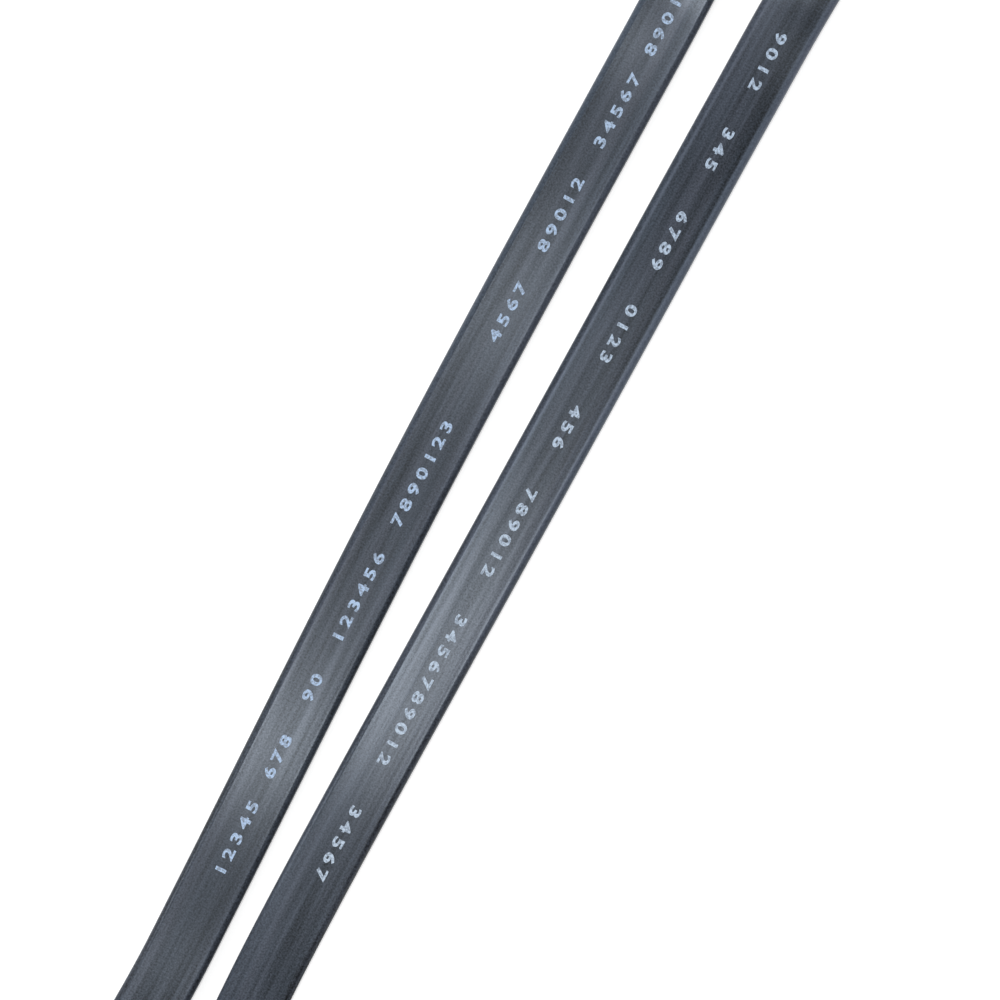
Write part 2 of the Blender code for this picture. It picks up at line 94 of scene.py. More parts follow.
# %% A smooth line through them
def smooth_rows(rows):
    """A Hermite curve through the rows, with slopes from each row's neighbours."""
    knots = [0.0]
    for a, b in zip(rows, rows[1:]):
        knots.append(knots[-1] + (b - a).xy.length)
    chords = [(b - a) / (v - u) for a, b, u, v in zip(rows, rows[1:], knots, knots[1:])]
    slopes = [chords[0]]
    for i in range(1, len(rows) - 1):
        left, right = knots[i] - knots[i - 1], knots[i + 1] - knots[i]
        slopes.append((chords[i - 1] * right + chords[i] * left) / (left + right))
    slopes.append(chords[-1])
    curve = []
    for i in range(len(rows) - 1):
        span = knots[i + 1] - knots[i]
        for step in range(SPAN_SAMPLES):
            t = step / SPAN_SAMPLES
            curve.append(rows[i] * (1 + 2 * t) * (1 - t) ** 2
                         + slopes[i] * span * t * (1 - t) ** 2
                         + rows[i + 1] * t * t * (3 - 2 * t)
                         + slopes[i + 1] * span * t * t * (t - 1))
    return curve + [rows[-1]]


def standing_height(roll):
    """Height of the section's centre when the cable touches the table at this roll."""
    return (EDGE_ROUND + (CABLE_W / 2 - EDGE_ROUND) * abs(math.sin(roll))
            + (CABLE_T / 2 - EDGE_ROUND) * abs(math.cos(roll)))


CENTRES, ROLLS = [], []
for x, y, rise, roll in smooth_rows([Vector((*row[:3], math.radians(row[3]))) for row in ROUTE]):
    table = standing_height(roll)
    CENTRES.append(Vector((x + SHIFT_X, y + SHIFT_Y, table + rise * (PLUG_AXIS_Z - table))))
    ROLLS.append(roll)
last = len(CENTRES) - 1
HEADINGS = [(CENTRES[min(i + 1, last)] - CENTRES[max(i - 1, 0)]).normalized()
            for i in range(last + 1)]
DISTANCES = [0.0]
for a, b in zip(CENTRES, CENTRES[1:]):
    DISTANCES.append(DISTANCES[-1] + (b - a).length)
CABLE_LENGTH = DISTANCES[-1]
print(f"plug face to plug face: {CABLE_LENGTH:.1f} mm")


# %% From places in the cable to places in the room
def frame_at(distance):
    """Centre of the section at a distance, with its directions across and out of its face."""
    i = min(max(bisect.bisect_right(DISTANCES, distance), 1), len(DISTANCES) - 1)
    share = (distance - DISTANCES[i - 1]) / (DISTANCES[i] - DISTANCES[i - 1])
    centre = CENTRES[i - 1].lerp(CENTRES[i], share)
    heading = HEADINGS[i - 1].lerp(HEADINGS[i], share).normalized()
    roll = ROLLS[i - 1] + (ROLLS[i] - ROLLS[i - 1]) * share
    level = heading.cross(Vector((0, 0, 1))).normalized()
    upright = level.cross(heading)
    across = level * math.cos(roll) - upright * math.sin(roll)
    face = upright * math.cos(roll) + level * math.sin(roll)
    return centre, across, face


def place(across_mm, up_mm, along_mm):
    """The point in metres for a place in the cable, in millimetres."""
    centre, across, face = frame_at(along_mm)
    return (centre + across * across_mm + face * up_mm) * MM


# %% [markdown]
# ## The camera
#
# The photograph looks straight down on the two legs, which slant across it from the lower left
# to the upper right. The legs lie along Y here, so the camera is turned about its own line of
# sight instead. A long lens from half a metre keeps their sides parallel.

# %% A camera straight above
PICTURE_WIDTH = 119.5
RUN_SLANT = math.radians(28.6)
CAMERA_HEIGHT = 500.0

camera = bpy.data.objects.new("camera", bpy.data.cameras.new("camera"))
bpy.context.collection.objects.link(camera)
camera.data.sensor_width = 36.0
camera.data.lens = camera.data.sensor_width * CAMERA_HEIGHT / PICTURE_WIDTH
camera.data.clip_start = 0.01
camera.data.clip_end = 20.0
camera.matrix_world = (Matrix.Translation(Vector((SHIFT_X, SHIFT_Y, CABLE_T + CAMERA_HEIGHT)) * MM)
                       @ Matrix.Rotation(RUN_SLANT, 4, "Z"))
bpy.context.scene.camera = camera
print(f"lens {camera.data.lens:.0f} mm")

# %% [markdown]
# ## Shared effects
#
# Extruded vinyl has marks that run along it, because every scratch and hump of the die is drawn
# out. Moulded plastic has a fine even grain, and everything in use picks up a few specks of dust.
# More than one finish needs each of these, so each is a node group with its own inputs.


# %% Helpers for node trees
def new_group(name, inputs, outputs):
    """An empty shader group with named inputs (kind, default) and outputs (kind)."""
    group = bpy.data.node_groups.new(name, "ShaderNodeTree")
    for label, (kind, default) in inputs.items():
        socket = group.interface.new_socket(label, in_out="INPUT", socket_type=kind)
        if default is not None:
            socket.default_value = default
    for label, kind in outputs.items():
        group.interface.new_socket(label, in_out="OUTPUT", socket_type=kind)
    start = group.nodes.new("NodeGroupInput")
    end = group.nodes.new("NodeGroupOutput")
    return group, start, end


def add_node(tree, kind, settings=None, **inputs):
    """A node with its settings, and its inputs given as values or as sockets to link from."""
    node = tree.nodes.new(kind)
    for label, value in (settings or {}).items():
        setattr(node, label, value)
    for label, value in inputs.items():
        socket = node.inputs[int(label[1:]) if label[0] == "_" else label.replace("_", " ")]
        if isinstance(value, bpy.types.NodeSocket):
            tree.links.new(value, socket)
        else:
            socket.default_value = value
    return node


def worked(tree, operation, *values):
    """One step of arithmetic on values or sockets."""
    sockets = {f"_{number}": value for number, value in enumerate(values)}
    return add_node(tree, "ShaderNodeMath", {"operation": operation}, **sockets).outputs[0]


def remap(tree, value, low, high, to_low=0.0, to_high=1.0):
    """A value stretched from one range to another, and held inside it."""
    node = add_node(tree, "ShaderNodeMapRange", None, Value=value, From_Min=low, From_Max=high,
                    To_Min=to_low, To_Max=to_high)
    return node.outputs["Result"]


def mixed(tree, share, first, second):
    """Two colours mixed by a share."""
    node = add_node(tree, "ShaderNodeMix", {"data_type": "RGBA"}, _0=share, _6=first, _7=second)
    return node.outputs[2]


# %% Drawn streaks
streaks, start, end = new_group(
    "drawn streaks",
    {"Place": ("NodeSocketVector", None), "Width": ("NodeSocketFloat", 0.5),
     "Length": ("NodeSocketFloat", 40.0)},
    {"Mask": "NodeSocketFloat"})
thin = worked(streaks, "DIVIDE", 1.0, start.outputs["Width"])
long = worked(streaks, "DIVIDE", 1.0, start.outputs["Length"])
squeeze = add_node(streaks, "ShaderNodeCombineXYZ", None, X=thin, Y=thin, Z=long)
drawn = add_node(streaks, "ShaderNodeVectorMath", {"operation": "MULTIPLY"},
                 _0=start.outputs["Place"], _1=squeeze.outputs[0])
noise = add_node(streaks, "ShaderNodeTexNoise", None, Vector=drawn.outputs[0], Scale=1.0,
                 Detail=2.0, Roughness=0.5)
streaks.links.new(noise.outputs["Fac"], end.inputs["Mask"])

# %% Fine grain
grain, start, end = new_group(
    "fine grain",
    {"Place": ("NodeSocketVector", None), "Size": ("NodeSocketFloat", 0.2)},
    {"Mask": "NodeSocketFloat"})
fine = worked(grain, "DIVIDE", 1.0, start.outputs["Size"])
noise = add_node(grain, "ShaderNodeTexNoise", None, Vector=start.outputs["Place"],
                 Scale=fine, Detail=2.0, Roughness=0.6)
grain.links.new(noise.outputs["Fac"], end.inputs["Mask"])

# %% Dust specks
specks, start, end = new_group(
    "dust specks",
    {"Place": ("NodeSocketVector", None), "Spacing": ("NodeSocketFloat", 6.0),
     "Radius": ("NodeSocketFloat", 0.02)},
    {"Mask": "NodeSocketFloat"})
CLEAN_SHARE = 0.55
spread = worked(specks, "DIVIDE", 1.0, start.outputs["Spacing"])
cells = add_node(specks, "ShaderNodeTexVoronoi", None, Vector=start.outputs["Place"],
                 Scale=spread)
inside = worked(specks, "LESS_THAN", cells.outputs["Distance"], start.outputs["Radius"])
chosen = add_node(specks, "ShaderNodeSeparateColor", None, Color=cells.outputs["Color"])
rare = worked(specks, "GREATER_THAN", chosen.outputs[0], CLEAN_SHARE)
specks.links.new(worked(specks, "MULTIPLY", inside, rare), end.inputs["Mask"])

# %% Slow bow
# A cable that has been coiled never lies quite flat. A wave of this kind lifts it by a millimetre
# or less over its whole length, which tips its faces by a few degrees. The height of the wave
# comes out in millimetres.
bow, start, end = new_group(
    "slow bow",
    {"Place": ("NodeSocketVector", None), "Wave": ("NodeSocketFloat", 60.0),
     "Start": ("NodeSocketFloat", 0.0), "Rise": ("NodeSocketFloat", 0.3)},
    {"Mask": "NodeSocketFloat"})
along = add_node(bow, "ShaderNodeSeparateXYZ", None, Vector=start.outputs["Place"]).outputs["Z"]
turns = worked(bow, "DIVIDE", worked(bow, "SUBTRACT", along, start.outputs["Start"]),
               start.outputs["Wave"])
wave = worked(bow, "COSINE", worked(bow, "MULTIPLY", turns, 2 * math.pi))
bow.links.new(worked(bow, "MULTIPLY", wave, start.outputs["Rise"]), end.inputs["Mask"])
print("groups:", [group.name for group in bpy.data.node_groups])


# %% A finish to start from
def new_finish(name, roughness, metallic=0.0):
    """A material with its Principled shader ready."""
    material = bpy.data.materials.new(name)
    material.use_nodes = True
    shader = material.node_tree.nodes["Principled BSDF"]
    shader.inputs["Roughness"].default_value = roughness
    shader.inputs["Metallic"].default_value = metallic
    return material.node_tree, shader, material


def use_group(tree, group, place, **values):
    """A shared effect placed in a material, with its own values."""
    node = tree.nodes.new("ShaderNodeGroup")
    node.node_tree = group
    tree.links.new(place, node.inputs["Place"])
    for label, value in values.items():
        node.inputs[label].default_value = value
    return node.outputs["Mask"]


def raise_surface(tree, shader, height, strength, distance):
    """Bump on a shader, from a height; distance is what a height of 1 stands up, in metres."""
    bump = add_node(tree, "ShaderNodeBump", None, Height=height, Strength=strength,
                    Distance=distance)
    tree.links.new(bump.outputs["Normal"], shader.inputs["Normal"])


def object_millimetres(tree):
    """Object coordinates, counted in millimetres."""
    coordinates = tree.nodes.new("ShaderNodeTexCoord")
    scaled = add_node(tree, "ShaderNodeVectorMath", {"operation": "SCALE"},
                      _0=coordinates.outputs["Object"], Scale=1 / MM)
    return scaled.outputs[0]


# %% [markdown]
# ## The jacket
#
# The jacket is extruded round two screened pairs. Its faces are nearly flat, with a low wave
# where the pairs push up from inside, and its edges drop away with a crisp crease. A section is
# drawn once, as a rectangle with bevelled corners. Then a grid is rolled into a tube of that
# section, station by station along the route. Each point keeps its place in the cable as an
# attribute, so that streaks can follow every bend.

# %% Sizes of the jacket
PAIR_OFFSET = 1.845
BORE_W = 3.31
BORE_H = 1.42
BORE_ROUND = 0.49
BORE_STEPS = 5
JACKET_START = 16.3
PLUG_L = 24.0
CREASE = 0.82
CREASE_SHAPE = 0.45
CREASE_STEPS = 7
FACE_CUTS = 34
CROWN = 0.035
WAVE_HEIGHT = 0.018
WAVE_PITCH = 3.5
STATION_STEP = 1.5


def face_wave(across_mm):
    """How far a face stands up or lies low there: a slight crown, and a wave over the pairs."""
    crown = -CROWN * (2 * across_mm / CABLE_W) ** 2
    return crown - WAVE_HEIGHT * (1 + math.cos(2 * math.pi * across_mm / WAVE_PITCH)) / 2


# %% One section, and its sweep
def section_outline(width, height, corner, shape, steps, middle=0.0, cuts=0):
    """Points round a section in order, across (x) and up (y), in millimetres."""
    bm = bmesh.new()
    corners = bmesh.ops.create_grid(bm, x_segments=1, y_segments=1, size=0.5)["verts"]
    bmesh.ops.scale(bm, vec=(width, height, 1), verts=corners)
    bmesh.ops.translate(bm, vec=(middle, 0, 0), verts=corners)
    bmesh.ops.bevel(bm, geom=corners, offset=corner, segments=steps, profile=shape,
                    affect="VERTICES", material=-1)
    if cuts:
        flats = sorted(bm.edges, key=lambda e: -e.calc_length())[:2]
        bmesh.ops.subdivide_edges(bm, edges=flats, cuts=cuts)
        bmesh.ops.dissolve_faces(bm, faces=bm.faces[:])
    outline = [loop.vert.co.to_2d() for face in bm.faces for loop in face.loops]
    bm.free()
    return outline


def sweep_outline(bm, outline, stops, wave=False):
    """Roll a grid into a tube that follows the cable; gives the edges of its two ends."""
    places = bm.verts.layers.float_vector["cable_mm"]
    around, steps = len(outline), len(stops) - 1
    verts = bmesh.ops.create_grid(bm, x_segments=around, y_segments=steps, size=0.5)["verts"]
    ends = ([], [])
    for vert in verts:
        corner = round((vert.co.x + 0.5) * around) % around
        stop = round((vert.co.y + 0.5) * steps)
        across, up = outline[corner]
        if wave and abs(up) > CABLE_T / 2 - 1e-4:
            up += face_wave(across) * (1 if up > 0 else -1)
        vert[places] = (across, up, stops[stop])
        vert.co = place(across, up, stops[stop])
        if stop in (0, steps):
            ends[stop > 0].append(vert)
    bmesh.ops.remove_doubles(bm, verts=verts, dist=1e-7)
    return [[e for e in {e for v in end if v.is_valid for e in v.link_edges} if e.is_boundary]
            for end in ends]


def finish_mesh(name, bm, material, sharp=35.0):
    """A named piece from a bmesh: normals out, smooth, with its finish and its body."""
    bmesh.ops.recalc_face_normals(bm, faces=bm.faces)
    mesh = bpy.data.meshes.new(name)
    bm.to_mesh(mesh)
    bm.free()
    mesh.shade_smooth()
    mesh.set_sharp_from_angle(angle=math.radians(sharp))
    mesh.materials.append(material)
    piece = bpy.data.objects.new(name, mesh)
    bpy.context.collection.objects.link(piece)
    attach(piece, "root")
    return piece


# %% [markdown]
# The vinyl is black with a cool sheen: much of what the eye sees on it is soft light from above,
# so its own colour stays dark. The die leaves streaks that run along it. A painted sheen lightens
# one side of the face, painted highlights lie on the crests beside both edges, and the other
# side's edge has a painted reflection that turns to painted shade near its far end. Towards the
# plugs, where fingers pull it, the vinyl is duller. Slow waves tip the face, so the light swells
# and fades along the cable.

# %% Satin vinyl of the jacket
# Distances along the cable in millimetres, where each painted sheen, highlight, shade or dullness
# comes or goes
SIDE_SHEEN_FROM, SIDE_SHEEN_FULL = 80.0, 180.0
EDGE_SHEEN_FROM, EDGE_SHEEN_FULL, EDGE_SHEEN_UNTIL, EDGE_SHEEN_GONE = 90.0, 200.0, 370.0, 425.0
CREST_SHEEN_FROM, CREST_SHEEN_FULL, CREST_SHEEN_UNTIL, CREST_SHEEN_GONE = 300.0, 362.0, 375.0, 430.0
DULL_FULL, DULL_GONE = 52.0, 72.0
# How strong each painted sheen, highlight or shade is, as a share of the vinyl's own colour;
# dullness is added roughness
SIDE_SHEEN, EDGE_SHEEN, EDGE_SHADE, CREST_SHEEN_LOW, CREST_SHEEN, DULL = 0.65, 1.8, -0.3, 0.3, 1.5, 0.30
# Where the painted sheen, highlights and reflection lie across the cable, in millimetres from its
# middle
SIDE_SHEEN_IN, SIDE_SHEEN_OUT = -1.0, 3.4
EDGE_SHEEN_IN, EDGE_SHEEN_OUT = -3.12, -3.45
CREST, CREST_REACH = CABLE_W / 2 - CREASE, 0.28
DUST_GREY = (0.42, 0.42, 0.40, 1)

tree, shader, JACKET_FINISH = new_finish("jacket vinyl", 0.30)
cable = add_node(tree, "ShaderNodeAttribute", {"attribute_name": "cable_mm"}).outputs["Vector"]
axes = add_node(tree, "ShaderNodeSeparateXYZ", None, Vector=cable)
across, along = axes.outputs["X"], axes.outputs["Z"]
wide = use_group(tree, streaks, cable, Width=1.4, Length=60.0)
narrow = use_group(tree, streaks, cable, Width=0.6, Length=16.0)
grit = use_group(tree, grain, cable, Size=0.22)
dust = use_group(tree, specks, cable, Spacing=9.0, Radius=0.010)

# How much light each spot gives back: streaks and grain, a painted sheen on one side, a painted
# reflection and painted shade on one edge, and painted highlights on the crests
streaky = remap(tree, worked(tree, "ADD", wide, narrow), 0.76, 1.24, 0.42, 1.43)
speckled = remap(tree, grit, 0.3, 0.7, -0.68, 0.68)
# Painted sheen: the face is made lighter towards one side, further along the cable
painted_side_sheen = worked(tree, "MULTIPLY", remap(tree, across, SIDE_SHEEN_IN, SIDE_SHEEN_OUT, 0.0, SIDE_SHEEN),
               remap(tree, along, SIDE_SHEEN_FROM, SIDE_SHEEN_FULL))
# Painted highlights along the crests beside both edges, strongest over one stretch of the cable
off_crest = worked(tree, "ABSOLUTE",
                   worked(tree, "SUBTRACT", worked(tree, "ABSOLUTE", across), CREST))
crest_sheen_along = worked(tree, "MINIMUM",
                 remap(tree, along, CREST_SHEEN_FROM, CREST_SHEEN_FULL, CREST_SHEEN_LOW, CREST_SHEEN),
                 remap(tree, along, CREST_SHEEN_UNTIL, CREST_SHEEN_GONE, CREST_SHEEN, 0.0))
painted_crest_sheen = worked(tree, "MULTIPLY", remap(tree, off_crest, 0.0, CREST_REACH, 1.0, 0.0), crest_sheen_along)
# Painted reflection on one edge, which turns to painted shade near the cable's far end
edge_light_along = worked(tree, "MINIMUM", remap(tree, along, EDGE_SHEEN_FROM, EDGE_SHEEN_FULL),
                    remap(tree, along, EDGE_SHEEN_UNTIL, EDGE_SHEEN_GONE, 1.0, EDGE_SHADE))
painted_edge_light = worked(tree, "MULTIPLY", remap(tree, across, EDGE_SHEEN_OUT, EDGE_SHEEN_IN, EDGE_SHEEN, 0.0),
               edge_light_along)
streaks_and_painted_sheen = streaky
for part in (speckled, painted_side_sheen, painted_crest_sheen, painted_edge_light):
    streaks_and_painted_sheen = worked(tree, "ADD", streaks_and_painted_sheen, part)
slate = mixed(tree, remap(tree, wide, 0.35, 0.65), (0.023, 0.029, 0.039, 1),
              (0.027, 0.031, 0.041, 1))
# The vinyl's colour, scaled by its streaks and grain and by the painted sheen, highlights and
# shade
black = add_node(tree, "ShaderNodeVectorMath", {"operation": "SCALE"}, _0=slate, Scale=streaks_and_painted_sheen)
tree.links.new(mixed(tree, dust, black.outputs[0], DUST_GREY), shader.inputs["Base Color"])
from_end = worked(tree, "MINIMUM", along, worked(tree, "SUBTRACT", CABLE_LENGTH, along))
dull = remap(tree, from_end, DULL_FULL, DULL_GONE, DULL, 0.0)
tree.links.new(worked(tree, "ADD", remap(tree, streaks_and_painted_sheen, 0.4, 1.6, 0.325, 0.275), dull),
               shader.inputs["Roughness"])
shader.inputs["Specular IOR Level"].default_value = 0.23
shader.inputs["Specular Tint"].default_value = (0.80, 0.89, 1.0, 1)

# Slow bows turn the whole face, humps turn parts of it, and fine lines and grain break the shine.
# Each bow has the length of its wave, the place of its first top and its rise, in millimetres.
BOWS = [(150.0, 76.0, 0.85), (94.8, 19.3, 0.70), (65.1, 30.4, 0.49), (43.2, 40.7, 0.12)]
HUMP_HEIGHT, FINE_HEIGHT = 0.04, 0.012
bend = 0.0
for wave, top, rise in BOWS:
    lift = use_group(tree, bow, cable, Wave=wave, Start=top, Rise=rise)
    bend = worked(tree, "ADD", bend, lift)
fine = worked(tree, "ADD", worked(tree, "MULTIPLY", narrow, 0.5),
              worked(tree, "MULTIPLY", grit, 0.3))
normal = None
for height, distance in ((bend, 1.0), (wide, HUMP_HEIGHT), (fine, FINE_HEIGHT)):
    bump = add_node(tree, "ShaderNodeBump", None, Height=height, Strength=1.0,
                    Distance=distance * MM)
    if normal:
        tree.links.new(normal, bump.inputs["Normal"])
    normal = bump.outputs["Normal"]
tree.links.new(normal, shader.inputs["Normal"])

# %% The jacket itself
bm = bmesh.new()
bm.verts.layers.float_vector.new("cable_mm")
span = CABLE_LENGTH - 2 * JACKET_START
count = round(span / STATION_STEP)
stops = [JACKET_START + span * k / count for k in range(count + 1)]
skin = section_outline(CABLE_W, CABLE_T, CREASE, CREASE_SHAPE, CREASE_STEPS, cuts=FACE_CUTS)
tubes = [(skin, True)]
for side in (-1, 1):
    bore = section_outline(BORE_W, BORE_H, BORE_H * BORE_ROUND, 0.5, BORE_STEPS,
                           side * PAIR_OFFSET)
    tubes.append((bore, False))
ends = [sweep_outline(bm, outline, stops, wave) for outline, wave in tubes]
for which in (0, 1):
    bmesh.ops.triangle_fill(bm, use_beauty=True, use_dissolve=False,
                            edges=[e for pair in ends for e in pair[which]])
jacket = finish_mesh("cable_jacket", bm, JACKET_FINISH, sharp=60.0)
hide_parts("jacket")
print("jacket faces:", len(jacket.data.polygons), "stations:", len(stops))

# %% [markdown]
# ## The row of ink
#
# Cable of this kind is printed as it is drawn, in pale blue along the middle of one face, in
# short groups with gaps between them. Here the groups are plain digits, counted off in turn.
# Each digit is a thin closed letter, laid on the face point by point, so the row follows every
# bend. Ink on vinyl is never even: the dark shows through in small gaps.

# %% Pale blue ink
WEAR_FROM, WEAR_FULL = 150.0, 400.0
tree, shader, INK_FINISH = new_finish("printed ink", 0.55)
cable = add_node(tree, "ShaderNodeAttribute", {"attribute_name": "cable_mm"}).outputs["Vector"]
blot = use_group(tree, grain, cable, Size=0.24)
along = add_node(tree, "ShaderNodeSeparateXYZ", None, Vector=cable).outputs["Z"]
worn = remap(tree, along, WEAR_FROM, WEAR_FULL)
blue = mixed(tree, worn, (0.29, 0.40, 0.57, 1), (0.35, 0.43, 0.53, 1))
gaps = mixed(tree, remap(tree, blot, 0.44, 0.60, 0.0, 0.85), blue, (0.12, 0.15, 0.20, 1))
tree.links.new(gaps, shader.inputs["Base Color"])

# %% The digits
DIGIT_HEIGHT = 1.45
DIGIT_WIDEN = 1.55
DIGIT_PITCH = 2.1
CAP_SHARE = 0.73
INK_SPREAD = 0.06
INK_THICKNESS = 0.012
# For each group, how far along its first digit stands in millimetres, and its number of digits
GROUPS = [
    (79.4, 5), (92.4, 3), (102.7, 2), (110.6, 6), (126.2, 7), (151.2, 4), (163.4, 5),
    (177.5, 5), (190.1, 4), (202.6, 3), (213.5, 4), (226.3, 6), (243.2, 3), (254.0, 5),
    (270.4, 7), (290.1, 5), (305.8, 4), (320.9, 4), (333.9, 3), (345.3, 4), (358.0, 4),
    (371.8, 3), (383.0, 6), (400.3, 10), (426.4, 5),
]
ROW_DRIFT = 0.22
LEG_A, LEG_B = 130.0, 385.0


def digit_mesh(digit):
    """A flat digit with a little thickness, centred, in millimetres."""
    letter = bpy.data.curves.new("digit", "FONT")
    letter.body = digit
    letter.align_x = "CENTER"
    letter.align_y = "CENTER"
    letter.size = (DIGIT_HEIGHT - 2 * INK_SPREAD) / CAP_SHARE
    letter.offset = INK_SPREAD
    letter.extrude = INK_THICKNESS
    letter.resolution_u = 4
    holder = bpy.data.objects.new("digit", letter)
    mesh = bpy.data.meshes.new_from_object(holder)
    bpy.data.objects.remove(holder)
    return mesh


def row_drift(along_mm):
    """How far the row has drifted from the middle: to one side on one leg, back on the other."""
    return ROW_DRIFT * math.cos(math.pi * (along_mm - LEG_A) / (LEG_B - LEG_A))


digits = [digit_mesh(str(number)) for number in range(10)]
bm = bmesh.new()
places = bm.verts.layers.float_vector.new("cable_mm")
printed = 0
for first, size in GROUPS:
    for k in range(size):
        printed += 1
        known = len(bm.verts)
        bm.from_mesh(digits[printed % 10])
        bm.verts.ensure_lookup_table()
        for vert in bm.verts[known:]:
            along = first + k * DIGIT_PITCH + vert.co.x * DIGIT_WIDEN
            across = row_drift(along) - vert.co.y
            up = CABLE_T / 2 + face_wave(across) + vert.co.z
            vert[places] = (across, up, along)
            vert.co = place(across, up, along)
bmesh.ops.remove_doubles(bm, verts=bm.verts, dist=1e-7)
ink = finish_mesh("ink_row", bm, INK_FINISH, sharp=30.0)
print("digits:", printed, "faces:", len(ink.data.polygons))

# %% [markdown]
# ## Plug finishes
#
# A plug is a hard nylon housing in a softer overmoulded hood. The nylon comes from a polished
# mould and shines more, while the hood has a fine even grain that also hides fingerprints.


# %% Moulded plastics
def moulded_plastic(name, dark, light, roughness, grain_size, depth):
    """Moulded plastic: a cloudy colour, a fine grain and a little dust."""
    tree, shader, material = new_finish(name, roughness)
    spot = object_millimetres(tree)
    cloud = use_group(tree, grain, spot, Size=4.0)
    fine = use_group(tree, grain, spot, Size=grain_size)
    dust = use_group(tree, specks, spot, Spacing=3.5, Radius=0.012)
    body = mixed(tree, remap(tree, cloud, 0.35, 0.65), dark, light)
    tree.links.new(mixed(tree, dust, body, (0.35, 0.35, 0.34, 1)), shader.inputs["Base Color"])
    tree.links.new(remap(tree, fine, 0.3, 0.7, roughness - 0.06, roughness + 0.08),
                   shader.inputs["Roughness"])
    raise_surface(tree, shader, fine, 1.0, depth)
    return material


HOOD_FINISH = moulded_plastic("hood vinyl", (0.018, 0.021, 0.025, 1), (0.028, 0.032, 0.038, 1),
                              0.52, 0.12, 0.02 * MM)
HOUSING_FINISH = moulded_plastic("housing nylon", (0.013, 0.015, 0.017, 1),
                                 (0.019, 0.022, 0.026, 1), 0.34, 0.3, 0.006 * MM)
MOULD_FINISH = moulded_plastic("inner mould", (0.62, 0.60, 0.54, 1), (0.72, 0.71, 0.66, 1),
                               0.5, 0.4, 0.01 * MM)
CORE_FINISH = moulded_plastic("core insulation", (0.78, 0.78, 0.74, 1), (0.88, 0.88, 0.85, 1),
                              0.42, 0.5, 0.004 * MM)


# %% Metals
def drawn_metal(name, dull, bright, roughness, grain_size, depth):
    """Plated or drawn metal with a slightly uneven surface."""
    tree, shader, material = new_finish(name, roughness, metallic=1.0)
    spot = object_millimetres(tree)
    fine = use_group(tree, grain, spot, Size=grain_size)
    tree.links.new(mixed(tree, remap(tree, fine, 0.35, 0.65), dull, bright),
                   shader.inputs["Base Color"])
    tree.links.new(remap(tree, fine, 0.3, 0.7, roughness - 0.06, roughness + 0.1),
                   shader.inputs["Roughness"])
    raise_surface(tree, shader, fine, 1.0, depth)
    return material


GOLD_FINISH = drawn_metal("contact gold", (0.78, 0.55, 0.22, 1), (0.95, 0.74, 0.36, 1),
                          0.24, 0.25, 0.003 * MM)
WIRE_FINISH = drawn_metal("tinned wire", (0.60, 0.60, 0.59, 1), (0.80, 0.80, 0.78, 1),
                          0.30, 0.2, 0.005 * MM)
FOIL_FINISH = drawn_metal("wrapped foil", (0.72, 0.73, 0.75, 1), (0.88, 0.89, 0.91, 1),
                          0.25, 0.7, 0.05 * MM)

# %% [markdown]
# ## The hoods
#
# The hood is moulded over the housing's rear and the cable's end. It starts as a block with
# round long edges, and its rear face is drawn out into the strain relief: a taper with three
# rings cut into it, so that it bends little by little. Five grooves across each side give the
# fingers a grip. The inside is cut to the housing, the inner block and the cable.

# %% Sizes of the hood
HOOD_W, HOOD_H = 15.4, 6.4
NOSE_L, HOOD_BODY_L = 7.0, 8.6
HOOD_CORNER = 1.2
SHOULDER_L, WAIST_L = 0.9, 1.1
WAIST_W, WAIST_H = 12.5, 5.05
RELIEF_W, RELIEF_H = 9.6, 3.7
HOUSING_W, HOUSING_H, HOUSING_L = 14.0, 5.0, 10.0
MOULD_W, MOULD_H = 12.6, 4.4
FIT = 0.06
RING_COUNT, RING_DEPTH, RING_RUN = 3, 0.45, 0.65
RING_STEP = 0.02
GRIP_COUNT, GRIP_PITCH, GRIP_DEPTH = 5, 1.15, 0.28
GRIP_W, GRIP_L, GRIP_START = 8.6, 0.5, 2.1


# %% Blocks and tapers
def rounded_block(bm, width, height, start, length, corner, steps=5):
    """A block along y with round long edges, in millimetres; gives its rear face."""
    verts = bmesh.ops.create_cube(bm, size=1.0)["verts"]
    bmesh.ops.scale(bm, vec=(width, length, height), verts=verts)
    bmesh.ops.translate(bm, vec=(0, start + length / 2, 0), verts=verts)
    edges = {e for v in verts for e in v.link_edges}
    long_edges = [e for e in edges if abs(e.verts[0].co.y - e.verts[1].co.y) > length / 2]
    bmesh.ops.bevel(bm, geom=long_edges, offset=corner, segments=steps, profile=0.5,
                    affect="EDGES", material=-1)
    return max(bm.faces, key=lambda f: (round(f.calc_center_median().y, 4), len(f.verts)))


def draw_out(bm, face, run, width, height):
    """Extrude a face along y and bring it to a new width and height."""
    face = bmesh.ops.extrude_discrete_faces(bm, faces=[face])["faces"][0]
    wide = max(v.co.x for v in face.verts) * 2
    high = max(v.co.z for v in face.verts) * 2
    bmesh.ops.scale(bm, vec=(width / wide, 1, height / high), verts=face.verts)
    bmesh.ops.translate(bm, vec=(0, run, 0), verts=face.verts)
    return face


def hidden_object(name, bm):
    """A bmesh as an object that only helps to cut."""
    mesh = bpy.data.meshes.new(name)
    bmesh.ops.recalc_face_normals(bm, faces=bm.faces)
    bm.to_mesh(mesh)
    bm.free()
    helper = bpy.data.objects.new(name, mesh)
    bpy.context.collection.objects.link(helper)
    return helper


